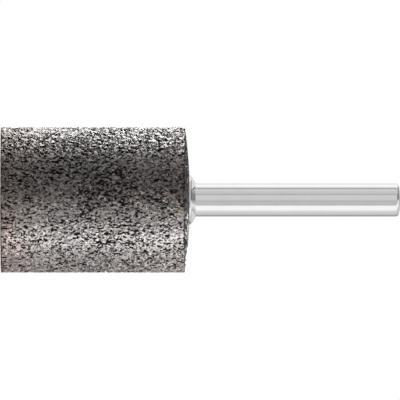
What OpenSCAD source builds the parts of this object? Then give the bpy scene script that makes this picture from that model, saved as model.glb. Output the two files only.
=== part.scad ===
// Mounted point: a crowned abrasive cylinder cemented on a steel shank.
// It stands on the flat face of its head, with the shank along +Z.
// The origin is the centre of that face, and lengths are in millimetres.

/* [Head] */
// Diameter of the abrasive head
head_d = 26.3; // [20:0.1:36]
// Length of the head from its flat face to the rim of its crowned back
head_len = 33.3; // [28:0.1:50]
// Rise of the crowned back from its rim to the point where it would meet the axis
crown_rise = 0.9; // [0.4:0.1:2.5]
// Width of the bevel that breaks the head's two sharp edges
head_bevel = 0.15; // [0.05:0.05:0.3]

/* [Shank] */
// Diameter of the shank
shank_d = 6; // [4:0.1:8]
// Length of the shank from the head's seat to its tip
shank_out = 38.1; // [25:0.5:70]
// Radius of the rounded edge at the tip
tip_round = 0.7; // [0.3:0.05:1.2]
// Radius of the ball that the slightly domed tip is part of
tip_ball_r = 16; // [8:1:60]

/* [Collar] */
// Distance that the collar stands out from the shank
collar_lip = 1.45; // [1:0.05:2.5]
// Radius of the collar's rounded rim
collar_round = 0.45; // [0.2:0.01:0.8]
// Height of the collar from its seat to where its slope meets the shank
collar_h = 1.1; // [0.9:0.05:2.5]

/* [Anchor] */
// Length of the plain neck inside the head, below the collar
neck_len = 6; // [3:0.5:9]
// Width of the ring groove that keeps the shank from pulling out
ring_w = 1.2; // [0.6:0.1:2]
// Depth of the ring groove
ring_depth = 0.5; // [0.2:0.05:0.9]
// Length of the straight knurl that keeps the shank from turning
knurl_len = 12; // [6:0.5:14]
// Distance from one knurl groove to the next, measured round the shank
knurl_pitch = 0.65; // [0.6:0.05:1.2]
// Depth of the knurl grooves, which are cut at a right angle
knurl_depth = 0.25; // [0.1:0.01:0.28]
// Width of the bevel at the shank's inner end
inner_bevel = 0.5; // [0.3:0.1:1]

/* [Cement] */
// Thickness of the cement between the shank and the wall of the bore
cement_film = 0.4; // [0.2:0.05:0.8]
// Thickness of the cement below the shank's inner end
cement_pad = 1; // [0.4:0.1:3]

/* [Hidden] */
$fn = 180;
// Overrun of a cut past the face that it opens
cut_over = 0.5;

head_r = head_d / 2;
shank_r = shank_d / 2;
collar_r = shank_r + collar_lip;
bore_r = shank_r + cement_film;

// The crown is part of a ball that passes through the head's rim
crown_ball_r = (head_r * head_r + crown_rise * crown_rise) / (2 * crown_rise);
crown_ball_z = head_len + crown_rise - crown_ball_r;
// The collar seats on a flat land, where the crown is as wide as the collar
seat_z = crown_ball_z + sqrt(crown_ball_r * crown_ball_r - collar_r * collar_r);

shoulder_z = seat_z + collar_h;
tip_z = seat_z + shank_out;
ring_top_z = seat_z - neck_len;
ring_z = ring_top_z - ring_w;
inner_end_z = ring_z - knurl_len;
bore_end_z = inner_end_z - cement_pad;
knurl_count = round(PI * shank_d / knurl_pitch);

// The collar's slope leaves its rounded rim without a corner, at this point and angle
rim_r = collar_r - collar_round;
slope_reach = sqrt((rim_r - shank_r) * (rim_r - shank_r) + collar_h * collar_h);
slope_turn = 180 - atan2(collar_h, rim_r - shank_r) - acos(collar_round / slope_reach);
slope_r = rim_r + collar_round * cos(slope_turn);
slope_z = seat_z + collar_round * sin(slope_turn);

// The rounded edge at the tip touches the shank's wall and the tip's ball from inside
tip_ball_z = tip_z - tip_ball_r;
edge_r = shank_r - tip_round;
edge_reach = tip_ball_r - tip_round;
edge_z = tip_ball_z + sqrt(edge_reach * edge_reach - edge_r * edge_r);
// The point where that edge hands over to the ball
dome_r = edge_r * tip_ball_r / edge_reach;
dome_z = tip_ball_z + (edge_z - tip_ball_z) * tip_ball_r / edge_reach;

// Half section of the head, with its bevels, its crown and the blind bore
module head_section() {
  rim_z = head_len - head_bevel;
  intersection() {
    polygon([
      [0, 0],
      [head_r - head_bevel, 0],
      [head_r, head_bevel],
      [head_r, rim_z],
      [head_r - (seat_z - rim_z), seat_z],
      [bore_r, seat_z],
      [bore_r, bore_end_z],
      [0, bore_end_z]
    ]);
    translate([0, crown_ball_z]) circle(r = crown_ball_r);
  }
}

module abrasive_head() {
  color("dimgray") rotate_extrude() head_section();
}

// Half section of the shank below its tip, from the inner end to the grip
module pin_section() {
  polygon([
    [0, inner_end_z],
    [shank_r - inner_bevel, inner_end_z],
    [shank_r, inner_end_z + inner_bevel],
    [shank_r, ring_z],
    [shank_r - ring_depth, ring_z],
    [shank_r - ring_depth, ring_top_z],
    [shank_r, ring_top_z],
    [shank_r, seat_z],
    [rim_r, seat_z],
    [slope_r, slope_z],
    [shank_r, shoulder_z],
    [shank_r, edge_z],
    [0, edge_z]
  ]);
}

// Half section of the collar's rounded rim, which stands on the seat
module rim_section() {
  intersection() {
    translate([rim_r, seat_z]) circle(r = collar_round);
    translate([rim_r, seat_z]) square(collar_round);
  }
}

// Half section of the tip: the rounded edge, and the dome inside it
module tip_section() {
  intersection() {
    translate([edge_r, edge_z]) circle(r = tip_round);
    translate([0, edge_z]) square([shank_r, tip_z - edge_z]);
  }
  intersection() {
    translate([0, tip_ball_z]) circle(r = tip_ball_r);
    polygon([[0, edge_z], [edge_r, edge_z], [dome_r, dome_z], [dome_r, tip_z], [0, tip_z]]);
  }
}

// One V groove of the knurl, which runs out into the ring groove
module knurl_groove() {
  translate([0, 0, inner_end_z - cut_over])
    linear_extrude(height = knurl_len + cut_over)
      polygon([
        [shank_r - knurl_depth, 0],
        [shank_r + knurl_depth, 2 * knurl_depth],
        [shank_r + knurl_depth, -2 * knurl_depth]
      ]);
}

module shank() {
  color("silver") difference() {
    rotate_extrude() {
      pin_section();
      rim_section();
      tip_section();
    }
    for (i = [0:knurl_count - 1]) rotate(i * 360 / knurl_count) knurl_groove();
  }
}

// The cement fills what the shank leaves free of the bore
module bonding_cement() {
  color("tan") difference() {
    translate([0, 0, bore_end_z]) cylinder(r = bore_r, h = seat_z - bore_end_z);
    shank();
  }
}

abrasive_head();
bonding_cement();
shank();
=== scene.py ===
import math

import bpy
import numpy as np
from mathutils import Matrix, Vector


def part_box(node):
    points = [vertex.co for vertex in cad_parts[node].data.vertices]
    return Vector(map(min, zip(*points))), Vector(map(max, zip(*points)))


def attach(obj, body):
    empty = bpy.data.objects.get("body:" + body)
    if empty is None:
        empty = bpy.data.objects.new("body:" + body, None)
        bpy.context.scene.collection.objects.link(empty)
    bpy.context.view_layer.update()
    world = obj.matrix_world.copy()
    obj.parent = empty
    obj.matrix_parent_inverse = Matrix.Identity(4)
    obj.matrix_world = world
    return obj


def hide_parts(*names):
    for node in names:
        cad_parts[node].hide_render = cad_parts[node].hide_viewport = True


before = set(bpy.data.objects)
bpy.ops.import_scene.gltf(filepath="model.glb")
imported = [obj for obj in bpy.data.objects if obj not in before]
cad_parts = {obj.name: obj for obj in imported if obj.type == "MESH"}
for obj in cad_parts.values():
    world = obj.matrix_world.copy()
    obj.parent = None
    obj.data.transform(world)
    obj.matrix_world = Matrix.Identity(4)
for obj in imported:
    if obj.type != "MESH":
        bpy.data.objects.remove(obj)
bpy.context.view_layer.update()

# The abrasive head is one moulded cylinder of crushed dark grit, held by a little glassy bond. It was
# pressed and fired in a mould and then trued, so its grains stand at one level, and pores lie where
# grains are missing, painted black as shade in their pits. Its back is slightly crowned, with a blind
# bore in which the shank is cemented.
mm = 0.001
head_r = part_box("abrasive_head")[1].x
seat_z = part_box("abrasive_head")[1].z
rim_z = 33.3 * mm
crown_rise = 0.9 * mm
bevel = 0.15 * mm
bore_r = 3.4 * mm
bore_end_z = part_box("bonding_cement")[0].z
collar_r = 4.45 * mm

# The mesh has fine triangles where it shows and coarse ones under the collar and in the bore.
mesh_step = 0.218 * mm
hidden_step = 0.8 * mm
row_share = 0.9
fewest_points = 6

# Grains are longer along the tool than across it, and smaller chips split them.
grain_across = 0.25 * mm
grain_along = 0.50 * mm
bend_scale = 0.9
bend_pull = 0.9
chip_across = 0.16 * mm
chip_along = 0.28 * mm
grain_drop = 0.10 * mm

# About a third of the grains are missing, more in the middle of the head and in clumps and large zones.
missing_share = 0.35
missing_soft = 0.12
open_z = 18.5 * mm
open_reach = 8 * mm
open_pull = 0.09
clump = 1.0 * mm
clump_pull = 0.7
zone = 7 * mm
zone_pull = 0.5
zone_shift = (417 * mm, 0, 39 * mm)
full_grain = 0.70
pore_wall = 0.06
pore_depth = 0.30 * mm

# The grains' colours: the share from which each tone starts, and how far patches and chips change it.
grain_tones = [
    (0.00, (0.027, 0.018, 0.017)), (0.22, (0.071, 0.051, 0.047)), (0.42, (0.097, 0.074, 0.069)),
    (0.60, (0.089, 0.056, 0.047)), (0.72, (0.082, 0.073, 0.077)), (0.84, (0.212, 0.172, 0.155)),
]
# A pore's near-black colour is painted shade in its pit.
pore_shade_colour = (0.015, 0.012, 0.012, 1)
tint_patch = 1.6 * mm
tint_pull = 0.45
chip_pull = 0.4

# The head is browner and darker towards its front face, and paler towards its back.
white = (1, 1, 1, 1)
brown_reach = 14 * mm
brown_tint = (0.62, 0.54, 0.49, 1)
brown_shine = (1.14, 0.97, 0.875, 1)
plain_shine = (1.02, 0.995, 0.975, 1)
pale_from_z = 22 * mm
pale_gain = 1.4

# One tan stain lies at the back rim, on the side that the camera sees.
stain_z = 32.6 * mm
stain_turn = math.radians(-10.4)
stain_size = 0.4 * mm
stain_reach = 1.3 * mm
stain_share = 0.75
stain_colour = (0.30, 0.235, 0.165, 1)

# Each grain has its own gloss and lean. A pore is dull, and its gloss is taken out as painted shade, but at
# a glancing view the grains before it hide it.
grit_ior = 2.2
grain_shine = 0.52
smoothest_grain = 0.26
roughest_grain = 0.44
pore_hidden_facing = 0.8
pore_seen_facing = 0.4
grain_lean = 0.15
chip_lean = 0.12
trued_share = 0.9


def profile_rings():
    """The head's outline as rings: radius, height, points round, and whether it shows."""
    ball_r = (head_r**2 + crown_rise**2) / (2 * crown_rise)
    ball_z = rim_z + crown_rise - ball_r
    edge_z = math.sqrt(ball_r**2 - (head_r - bevel)**2) + ball_z
    corners = [
        ((0, 0), (head_r - bevel, 0), mesh_step),
        ((head_r - bevel, 0), (head_r, bevel), mesh_step),
        ((head_r, bevel), (head_r, rim_z - bevel), mesh_step),
        ((head_r, rim_z - bevel), (head_r - bevel, edge_z), mesh_step),
        ((head_r - bevel, edge_z), (collar_r, seat_z), mesh_step),
        ((collar_r, seat_z), (bore_r, seat_z), hidden_step),
        ((bore_r, seat_z), (bore_r, bore_end_z), hidden_step),
        ((bore_r, bore_end_z), (0, bore_end_z), hidden_step),
    ]
    rings = []
    for (r0, z0), (r1, z1), step in corners:
        rows = max(1, round(math.hypot(r1 - r0, z1 - z0) / (step * row_share)))
        for row in range(rows):
            share = row / rows
            r = r0 + (r1 - r0) * share
            z = z0 + (z1 - z0) * share
            if step == mesh_step and z > rim_z and r <= head_r - bevel:
                z = ball_z + math.sqrt(ball_r**2 - r**2)
            around = 1 if r == 0 else max(fewest_points, round(math.tau * r / step))
            rings.append((r, z, around, step == mesh_step))
    rings.append((0, bore_end_z, 1, False))
    return rings


def bridge(low, high):
    """Triangles between two closed rings of points. A ring is its first index, its count, and the share of
    a step by which its first point is turned."""
    faces = []
    a, b = 0, 0
    first_a, count_a, start_a = low
    first_b, count_b, start_b = high
    while a < count_a or b < count_b:
        next_a = (a + 1 + start_a) / count_a
        next_b = (b + 1 + start_b) / count_b
        here_a = first_a + a % count_a
        here_b = first_b + b % count_b
        if b >= count_b or (a < count_a and next_a <= next_b):
            if count_a > 1:
                faces.append((here_a, first_a + (a + 1) % count_a, here_b))
            a += 1
        else:
            if count_b > 1:
                faces.append((here_a, first_b + (b + 1) % count_b, here_b))
            b += 1
    return faces


def smooth_head():
    """The head before its grain: a closed body turned from its rings, and marked where it shows.
    Every second ring is turned by half a step, so that its triangles are even."""
    points, shown, faces = [], [], []
    total = 0
    last = None
    for number, (r, z, around, visible) in enumerate(profile_rings()):
        start = 0.5 * (number % 2)
        angles = (np.arange(around) + start) / around * math.tau
        points.append(np.stack([r * np.cos(angles), r * np.sin(angles), np.full(around, z)], axis=1))
        shown.append(np.full(around, visible, dtype=np.float32))
        here = (total, around, start)
        if last:
            faces += bridge(last, here)
        total += around
        last = here
    mesh = bpy.data.meshes.new("head_grit")
    mesh.from_pydata(np.concatenate(points).tolist(), [], faces)
    mesh.attributes.new("shown", "FLOAT", "POINT").data.foreach_set("value", np.concatenate(shown))
    return mesh


def add_node(tree, kind, feeds=None, **settings):
    """Adds a node, sets its settings, and feeds its inputs: a socket is linked, and a value is set."""
    added = tree.nodes.new(kind)
    for name, value in settings.items():
        setattr(added, name, value)
    for key, feed in (feeds or {}).items():
        if isinstance(feed, bpy.types.NodeSocket):
            tree.links.new(feed, added.inputs[key])
        else:
            added.inputs[key].default_value = feed
    return added


def add_math(tree, operation, first, second=0.0, clamp=False):
    """One sum on two numbers."""
    feeds = {0: first, 1: second}
    return add_node(tree, "ShaderNodeMath", feeds, operation=operation, use_clamp=clamp).outputs[0]


def add_vector(tree, operation, first, second):
    """One sum on two vectors, or on a vector and its scale."""
    feeds = {0: first, "Scale" if operation == "SCALE" else 1: second}
    return add_node(tree, "ShaderNodeVectorMath", feeds, operation=operation).outputs[0]


def add_noise(tree, place, scale, detail):
    """Soft noise, with about as many lumps in one unit of the place as the scale says."""
    return add_node(tree, "ShaderNodeTexNoise", {"Vector": place, "Scale": scale, "Detail": detail}).outputs


def spread(tree, value, start, end, low, high, **settings):
    """Takes a value between start and end over to low and high, and holds it there past both ends."""
    feeds = {"Value": value, "From Min": start, "From Max": end, "To Min": low, "To Max": high}
    return add_node(tree, "ShaderNodeMapRange", feeds, **settings).outputs["Result"]


def mix_colours(tree, share, first, second):
    """The first colour where the share is 0, and the second where it is 1."""
    return add_node(tree, "ShaderNodeMix", {0: share, 6: first, 7: second}, data_type="RGBA").outputs[2]


def parts_of(tree, vector):
    """The three numbers of a place or a colour."""
    return add_node(tree, "ShaderNodeSeparateXYZ", {0: vector}).outputs


def centred(tree, numbers):
    """Three numbers from 0 to 1, moved so that they lie evenly round zero."""
    return add_vector(tree, "SUBTRACT", numbers, (0.5, 0.5, 0.5))


def packed_grains(tree, place):
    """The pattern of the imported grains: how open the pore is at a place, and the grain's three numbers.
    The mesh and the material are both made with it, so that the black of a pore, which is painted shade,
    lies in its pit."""
    cells = add_vector(tree, "MULTIPLY", place, (1 / grain_across, 1 / grain_across, 1 / grain_along))
    bend = centred(tree, add_noise(tree, cells, bend_scale, 1.0)["Color"])
    cells = add_vector(tree, "ADD", cells, add_vector(tree, "SCALE", bend, bend_pull))
    grains = add_node(tree, "ShaderNodeTexVoronoi", {"Vector": cells, "Scale": 1.0}).outputs
    numbers = parts_of(tree, grains["Color"])
    from_open = add_math(tree, "SUBTRACT", parts_of(tree, place)["Z"], open_z)
    from_open = add_math(tree, "ABSOLUTE", from_open)
    missing = spread(tree, from_open, 0, open_reach, missing_share + open_pull, missing_share)
    zone_place = add_vector(tree, "ADD", place, zone_shift)
    for where, size, pull in ((place, clump, clump_pull), (zone_place, zone, zone_pull)):
        cloud = add_noise(tree, where, 1 / size, 1.0)["Fac"]
        offset = add_math(tree, "MULTIPLY", add_math(tree, "SUBTRACT", cloud, 0.5), pull)
        missing = add_math(tree, "ADD", offset, missing)
    kept = add_math(tree, "SUBTRACT", numbers[0], missing)
    kept = add_math(tree, "DIVIDE", kept, missing_soft, clamp=True)
    reach = add_math(tree, "MULTIPLY", kept, full_grain + pore_wall)
    reach = add_math(tree, "SUBTRACT", reach, pore_wall)
    past = add_math(tree, "SUBTRACT", grains["Distance"], reach)
    open_pore = add_math(tree, "DIVIDE", past, pore_wall, clamp=True)
    return open_pore, numbers


def cut_relief(head):
    """Sinks the head's pores and its low grains, all inward from the trued faces, and applies it."""
    tree = bpy.data.node_groups.new("grit_relief", "GeometryNodeTree")
    tree.interface.new_socket("Geometry", in_out="INPUT", socket_type="NodeSocketGeometry")
    tree.interface.new_socket("Geometry", in_out="OUTPUT", socket_type="NodeSocketGeometry")
    smooth = add_node(tree, "NodeGroupInput").outputs[0]
    place = add_node(tree, "GeometryNodeInputPosition").outputs[0]
    out = add_node(tree, "GeometryNodeInputNormal").outputs[0]
    shown = add_node(tree, "GeometryNodeInputNamedAttribute", {"Name": "shown"}, data_type="FLOAT")
    open_pore, numbers = packed_grains(tree, place)
    drop = add_math(tree, "MULTIPLY", numbers[1], numbers[1])
    depth = add_math(tree, "MULTIPLY", drop, grain_drop)
    depth = add_math(tree, "ADD", depth, add_math(tree, "MULTIPLY", open_pore, pore_depth))
    depth = add_math(tree, "MULTIPLY", depth, shown.outputs["Attribute"])
    inward = add_vector(tree, "SCALE", out, add_math(tree, "MULTIPLY", depth, -1.0))
    feeds = {"Geometry": smooth, "Name": "trued_way", "Value": out}
    stored = add_node(tree, "GeometryNodeStoreNamedAttribute", feeds, data_type="FLOAT_VECTOR")
    sunk = add_node(tree, "GeometryNodeSetPosition", {"Geometry": stored.outputs[0], "Offset": inward})
    add_node(tree, "NodeGroupOutput", {0: sunk.outputs[0]})
    head.modifiers.new("relief", "NODES").node_group = tree
    shaped = bpy.data.meshes.new_from_object(head.evaluated_get(bpy.context.evaluated_depsgraph_get()))
    head.modifiers.clear()
    head.data = shaped


def new_material(name):
    """A new material, its nodes, its shader and the place on the object."""
    material = bpy.data.materials.new(name)
    material.use_nodes = True
    tree = material.node_tree
    place = add_node(tree, "ShaderNodeTexCoord").outputs["Object"]
    return material, tree, tree.nodes["Principled BSDF"], place


def grain_colour(tree, place, number, chips):
    """Each grain's own tone, with a tint that changes in patches and chips that catch more or less light."""
    tones = add_node(tree, "ShaderNodeValToRGB", {"Fac": number})
    tones.color_ramp.interpolation = "CONSTANT"
    while len(tones.color_ramp.elements) < len(grain_tones):
        tones.color_ramp.elements.new(1)
    for stop, (where, colour) in zip(tones.color_ramp.elements, grain_tones):
        stop.position = where
        stop.color = (*colour, 1)
    patches = centred(tree, add_noise(tree, place, 1 / tint_patch, 0.0)["Color"])
    tint = add_vector(tree, "ADD", add_vector(tree, "SCALE", patches, tint_pull), (1, 1, 1))
    tinted = add_vector(tree, "MULTIPLY", tones.outputs["Color"], tint)
    chip_light = spread(tree, parts_of(tree, chips)[0], 0, 1, 1 - chip_pull, 1 + chip_pull)
    return add_vector(tree, "SCALE", tinted, chip_light)


def front_to_back_colour(tree, colour, height, browned):
    """The colour made browner and darker near the front face, and paler towards the back."""
    colour = add_vector(tree, "MULTIPLY", colour, mix_colours(tree, browned, white, brown_tint))
    return add_vector(tree, "SCALE", colour, spread(tree, height, pale_from_z, rim_z, 1, pale_gain))


def stained_colour(tree, colour, place):
    """The colour with the tan stain on it."""
    middle = (-head_r * math.sin(stain_turn), -head_r * math.cos(stain_turn), stain_z)
    apart = add_node(tree, "ShaderNodeVectorMath", {0: place, 1: middle}, operation="DISTANCE")
    share = spread(tree, apart.outputs["Value"], stain_size, stain_reach, stain_share, 0)
    return mix_colours(tree, share, colour, stain_colour)


def grit_lean(tree, numbers, chips):
    """The way the surface faces: mostly that of the trued head, with each grain's and chip's own lean."""
    lean = add_node(tree, "ShaderNodeCombineXYZ", {0: numbers[2], 1: numbers[0], 2: numbers[1]}).outputs[0]
    lean = add_vector(tree, "SCALE", centred(tree, lean), grain_lean)
    lean = add_vector(tree, "ADD", lean, add_vector(tree, "SCALE", centred(tree, chips), chip_lean))
    carved = add_node(tree, "ShaderNodeNewGeometry").outputs["Normal"]
    trued = add_node(tree, "ShaderNodeAttribute", attribute_name="trued_way").outputs["Vector"]
    feeds = {0: trued_share, 4: carved, 5: trued}
    way = add_node(tree, "ShaderNodeMix", feeds, data_type="VECTOR").outputs[1]
    way = add_vector(tree, "ADD", way, lean)
    return add_node(tree, "ShaderNodeVectorMath", {0: way}, operation="NORMALIZE").outputs[0]


def fired_grit():
    """Dark grains of brown, grey and beige, each with its own tone, gloss and lean, and pores painted black
    as shade.
    """
    material, tree, shader, place = new_material("fired_grit")
    open_pore, numbers = packed_grains(tree, place)
    splits = add_vector(tree, "MULTIPLY", place, (1 / chip_across, 1 / chip_across, 1 / chip_along))
    chips = add_node(tree, "ShaderNodeTexVoronoi", {"Vector": splits, "Scale": 1.0}).outputs["Color"]
    height = parts_of(tree, place)["Z"]
    near_front = spread(tree, height, 0, brown_reach, 1, 0)
    browned = add_math(tree, "MULTIPLY", near_front, near_front)
    colour = grain_colour(tree, place, numbers[2], chips)
    colour = front_to_back_colour(tree, colour, height, browned)
    # The pores are painted black, as shade in their pits.
    colour = mix_colours(tree, open_pore, colour, pore_shade_colour)
    tree.links.new(stained_colour(tree, colour, place), shader.inputs["Base Color"])
    gloss = spread(tree, numbers[1], 0, 1, smoothest_grain, roughest_grain)
    # In a pore the gloss is taken out as painted shade, and the pore is made rough, less so at a glancing
    # view.
    facing = add_node(tree, "ShaderNodeLayerWeight").outputs["Facing"]
    pore_seen = spread(tree, facing, pore_hidden_facing, pore_seen_facing, 0, 1)
    dull_shaded_pore = add_math(tree, "MULTIPLY", open_pore, pore_seen)
    tree.links.new(add_math(tree, "MAXIMUM", gloss, dull_shaded_pore), shader.inputs["Roughness"])
    shine = add_math(tree, "MULTIPLY", add_math(tree, "SUBTRACT", 1.0, dull_shaded_pore), grain_shine)
    tree.links.new(shine, shader.inputs["Specular IOR Level"])
    tree.links.new(mix_colours(tree, browned, plain_shine, brown_shine), shader.inputs["Specular Tint"])
    tree.links.new(grit_lean(tree, numbers, chips), shader.inputs["Normal"])
    shader.inputs["IOR"].default_value = grit_ior
    return material


head = bpy.data.objects.new("head_grit", smooth_head())
bpy.context.scene.collection.objects.link(head)
cut_relief(head)
head.data.materials.append(fired_grit())
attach(head, "root")
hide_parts("abrasive_head")

# The cement is a thin sleeve of cured filler that was poured in the blind bore round the shank's end.
# It is sealed under the collar, so nothing of it shows from outside.
cement_lump = 1.5 * mm
cement_dark = (0.40, 0.33, 0.22, 1)
cement_pale = (0.52, 0.45, 0.33, 1)
cement_roughness = 0.8


def cured_cement():
    """Dull tan filler with soft clouds."""
    material, tree, shader, place = new_material("cured_cement")
    clouds = add_noise(tree, place, 1 / cement_lump, 2.0)["Fac"]
    tree.links.new(mix_colours(tree, clouds, cement_dark, cement_pale), shader.inputs["Base Color"])
    shader.inputs["Roughness"].default_value = cement_roughness
    return material


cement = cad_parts["bonding_cement"]
cement.data.materials.clear()
cement.data.materials.append(cured_cement())

# The shank is one turned steel pin, ground all round, with a thin bevelled collar that seats on the head.
# The grinding left fine rings round it, and its tip is rounded off.
ring_pitch = 0.05 * mm
ring_rise = 0.0006 * mm
ring_length = 25 * mm
cloud_across = 3 * mm
smoothest_steel = 0.09
roughest_steel = 0.16
dark_steel = (0.77, 0.77, 0.775, 1)
pale_steel = (0.83, 0.83, 0.835, 1)


def ground_steel():
    """Bright steel with the fine rings of a grinding wheel, and faint clouds in its gloss."""
    material, tree, shader, place = new_material("ground_steel")
    stretched = add_vector(tree, "MULTIPLY", place, (1 / ring_length, 1 / ring_length, 1 / ring_pitch))
    rings = add_noise(tree, stretched, 1.0, 2.0)["Fac"]
    clouds = add_noise(tree, place, 1 / cloud_across, 3.0)["Fac"]
    both = add_math(tree, "ADD", rings, clouds)
    tree.links.new(spread(tree, both, 0, 2, smoothest_steel, roughest_steel), shader.inputs["Roughness"])
    tree.links.new(mix_colours(tree, clouds, dark_steel, pale_steel), shader.inputs["Base Color"])
    relief = add_node(tree, "ShaderNodeBump", {"Height": rings, "Distance": ring_rise})
    tree.links.new(relief.outputs["Normal"], shader.inputs["Normal"])
    shader.inputs["Metallic"].default_value = 1
    return material


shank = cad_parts["shank"]
shank.data.materials.clear()
shank.data.materials.append(ground_steel())

# The floor is a disc of pale matt paper on which the head stands, and it fades out at its rim into a white
# surround. To the camera, to gloss and to glass, the paper has some light of its own. A camera that looks
# along the paper doesn't see it, as there is nothing but white beside the tool in the photograph.
floor_r = 0.45
fade_r = 0.12
floor_sides = 96
floor_tone = (0.5, 0.5, 0.5, 1)
floor_roughness = 0.9
floor_lift = 0.45
grazing_from = 0.85
grazing_to = 0.97
surround_level = 1.0
fill_level = 0.05


def sight(tree):
    """1 on the rays of the camera, of gloss and of glass, and 0 on the rays that light things."""
    rays = add_node(tree, "ShaderNodeLightPath").outputs
    mirrored = add_math(tree, "MAXIMUM", rays["Is Glossy Ray"], rays["Is Transmission Ray"])
    return add_math(tree, "MAXIMUM", mirrored, rays["Is Camera Ray"])


def pale_floor():
    """Matt paper with a soft lift in its light, clear at its rim and to a camera that looks along it."""
    material, tree, shader, place = new_material("pale_floor")
    shader.inputs["Base Color"].default_value = floor_tone
    shader.inputs["Roughness"].default_value = floor_roughness
    shader.inputs["Specular IOR Level"].default_value = 0
    shader.inputs["Emission Color"].default_value = white
    tree.links.new(add_math(tree, "MULTIPLY", sight(tree), floor_lift), shader.inputs["Emission Strength"])
    out = add_node(tree, "ShaderNodeVectorMath", {0: place}, operation="LENGTH").outputs["Value"]
    fade = spread(tree, out, fade_r, floor_r, 0, 1, interpolation_type="SMOOTHSTEP")
    slant = add_node(tree, "ShaderNodeLayerWeight").outputs["Facing"]
    grazing = spread(tree, slant, grazing_from, grazing_to, 0, 1)
    camera_ray = add_node(tree, "ShaderNodeLightPath").outputs["Is Camera Ray"]
    gone = add_math(tree, "MAXIMUM", fade, add_math(tree, "MULTIPLY", grazing, camera_ray))
    clear = add_node(tree, "ShaderNodeBsdfTransparent").outputs[0]
    blend = add_node(tree, "ShaderNodeMixShader", {0: gone, 1: shader.outputs[0], 2: clear})
    tree.links.new(blend.outputs[0], tree.nodes["Material Output"].inputs["Surface"])
    return material


floor_mesh = bpy.data.meshes.new("floor")
turns = [math.tau * side / floor_sides for side in range(floor_sides)]
rim = [(floor_r * math.cos(turn), floor_r * math.sin(turn), 0) for turn in turns]
floor_mesh.from_pydata(rim, [], [tuple(range(floor_sides))])
floor_mesh.materials.append(pale_floor())
floor = bpy.data.objects.new("floor", floor_mesh)
bpy.context.scene.collection.objects.link(floor)

surround = bpy.data.worlds.new("white_surround")
bpy.context.scene.world = surround
surround.use_nodes = True
backdrop = surround.node_tree.nodes["Background"]
backdrop.inputs["Color"].default_value = white
level = spread(surround.node_tree, sight(surround.node_tree), 0, 1, fill_level, surround_level)
surround.node_tree.links.new(level, backdrop.inputs["Strength"])

# Five tall soft lamps stand round the tool, and one narrow lamp behind it brightens the crowned back.
# They light the head and the floor. A turn is in degrees from the camera's side, positive to -X.
lamp_far = 0.5
lamp_top = 0.32
back_lamp_foot = 0.05
back_lamp_top = 0.20

# Each lamp's name, turn, width in degrees, foot, top and radiance.
lamp_plan = [
    ("near_lamp", -69, 36, 0, lamp_top, 9.8),
    ("far_lamp", 126, 68, 0, lamp_top, 8.8),
    ("front_lamp", -28, 40, 0, lamp_top, 2.5),
    ("upper_lamp", 80, 36, 0, lamp_top, 1.15),
    ("low_lamp", -127, 38, 0, lamp_top, 3.7),
    ("back_lamp", -174, 8, back_lamp_foot, back_lamp_top, 32),
]
lit_by_lamps = bpy.data.collections.new("lit_by_lamps")
lit_by_lamps.objects.link(head)
lit_by_lamps.objects.link(floor)


def toward(turn):
    """The level way that a turn gives."""
    angle = math.radians(turn)
    return np.array([-math.sin(angle), -math.cos(angle), 0])


def soft_lamp(name, turn, across, foot, top, radiance):
    """An upright lamp that faces the tool's axis, as wide as the degrees across that it fills."""
    data = bpy.data.lights.new(name, "AREA")
    data.shape = "RECTANGLE"
    data.size = 2 * lamp_far * math.tan(math.radians(across) / 2)
    data.size_y = top - foot
    data.energy = math.pi * data.size * data.size_y * radiance
    lamp = bpy.data.objects.new(name, data)
    bpy.context.scene.collection.objects.link(lamp)
    back = toward(turn)
    up = np.array([0, 0, 1])
    side = np.cross(up, back)
    spun = Matrix(np.stack([side, up, back], axis=1).tolist()).to_4x4()
    lamp.matrix_world = Matrix.Translation(back * lamp_far + up * (foot + top) / 2) @ spun
    lamp.visible_camera = False
    lamp.light_linking.receiver_collection = lit_by_lamps


for lamp_facts in lamp_plan:
    soft_lamp(*lamp_facts)

# Cards that only the steel mirrors stand in a ring, each from one turn to another, and give it its bands.
# Three darker cards and a roof just inside the ring are what the collar and the tip mirror.
ring_far = 0.7
inner_far = 0.69
card_foot = -0.1
card_top = 1.4
roof_steps = 6
roof_from = -10
roof_to = 170
roof_level = 0.12

# Each card's first turn, last turn and level, and for the inner ones also a name, a foot and a top.
ring_plan = [
    (180, 172, 0.45), (172, 152, 0.85), (152, 128, 1.00), (128, 116, 1.19), (116, 100, 1.15),
    (100, 93, 0.82), (93, 82, 0.46), (82, 74, 0.71), (74, 64, 0.78), (64, 43, 0.68), (43, 34, 0.50),
    (34, 0, 0.74), (0, -6, 0.66), (-6, -15, 0.55), (-15, -28, 0.64), (-28, -40, 0.58),
    (-40, -78, 1.15), (-78, -94, 0.88), (-94, -118, 0.74), (-118, -132, 0.62), (-132, -150, 0.42),
    (-150, -176, 0.80), (-176, -180, 0.45),
]
inner_plan = [
    ("dark_card", 156, 112, 0.52, card_top, 0.12),
    ("dim_card", 112, -8, 0.85, card_top, 0.33),
    ("low_card", -150, -178, card_foot, 0.25, 0.32),
]
seen_by_steel = bpy.data.collections.new("seen_by_steel")
seen_by_steel.objects.link(shank)


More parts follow.
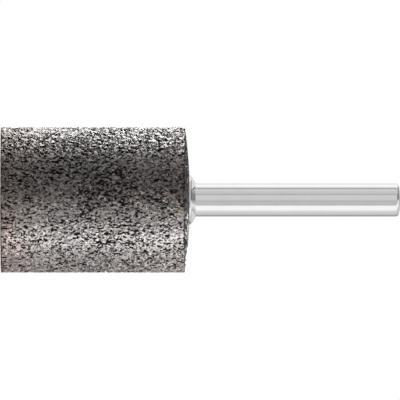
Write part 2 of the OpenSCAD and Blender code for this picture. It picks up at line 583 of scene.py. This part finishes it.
def even_card(name, points, faces, radiance):
    """A flat or bent card of even brightness, which only the steel shows."""
    mesh = bpy.data.meshes.new(name)
    mesh.from_pydata(points, [], faces)
    card = bpy.data.objects.new(name, mesh)
    bpy.context.scene.collection.objects.link(card)
    coat = bpy.data.materials.new(name)
    coat.use_nodes = True
    coat.node_tree.nodes.clear()
    glow = add_node(coat.node_tree, "ShaderNodeEmission", {"Strength": radiance})
    add_node(coat.node_tree, "ShaderNodeOutputMaterial", {"Surface": glow.outputs[0]})
    mesh.materials.append(coat)
    card.visible_camera = False
    card.visible_diffuse = False
    card.visible_shadow = False
    card.light_linking.receiver_collection = seen_by_steel


def upright_card(name, first, last, foot, top, radiance, far):
    """An upright card, bent once in its middle."""
    feet = [toward(first + (last - first) * share) * far for share in (0, 0.5, 1)]
    points = [(way[0], way[1], z) for z in (foot, top) for way in feet]
    even_card(name, points, [(0, 1, 4, 3), (1, 2, 5, 4)], radiance)


def roof(name, first, last, radiance, far):
    """A level card over the tool, like a slice of a disc."""
    edge = [toward(first + (last - first) * step / roof_steps) * far for step in range(roof_steps + 1)]
    points = [(0, 0, card_top)] + [(way[0], way[1], card_top) for way in edge]
    even_card(name, points, [(0, step, step + 1) for step in range(1, roof_steps + 1)], radiance)


for number, (first, last, radiance) in enumerate(ring_plan):
    upright_card("card_%d" % number, first, last, card_foot, card_top, radiance, ring_far)
for card_facts in inner_plan:
    upright_card(*card_facts, inner_far)
roof("dark_roof", roof_from, roof_to, roof_level, inner_far)

# The camera looks level along +Y from far away, rolled so that the shank points right. The pixels are the
# photograph's: its width, the shank's width, the column of the front face and the row of the axis.
photo_width_px = 400
shank_width_px = 33.2
shank_width = 6 * mm
front_face_px = 0.75
axis_row_px = 199.9
px_per_m = shank_width_px / shank_width
camera_far = 3.1
camera_data = bpy.data.cameras.new("camera")
camera_data.lens = camera_data.sensor_width * camera_far * px_per_m / photo_width_px
camera = bpy.data.objects.new("camera", camera_data)
bpy.context.scene.collection.objects.link(camera)
camera_x = (photo_width_px / 2 - axis_row_px) / px_per_m
camera_z = (photo_width_px / 2 - front_face_px) / px_per_m
rolled = Matrix(((0, -1, 0), (0, 0, -1), (1, 0, 0))).to_4x4()
camera.matrix_world = Matrix.Translation((camera_x, -camera_far, camera_z)) @ rolled
bpy.context.scene.camera = camera

bpy.context.scene.view_settings.view_transform = "Standard"
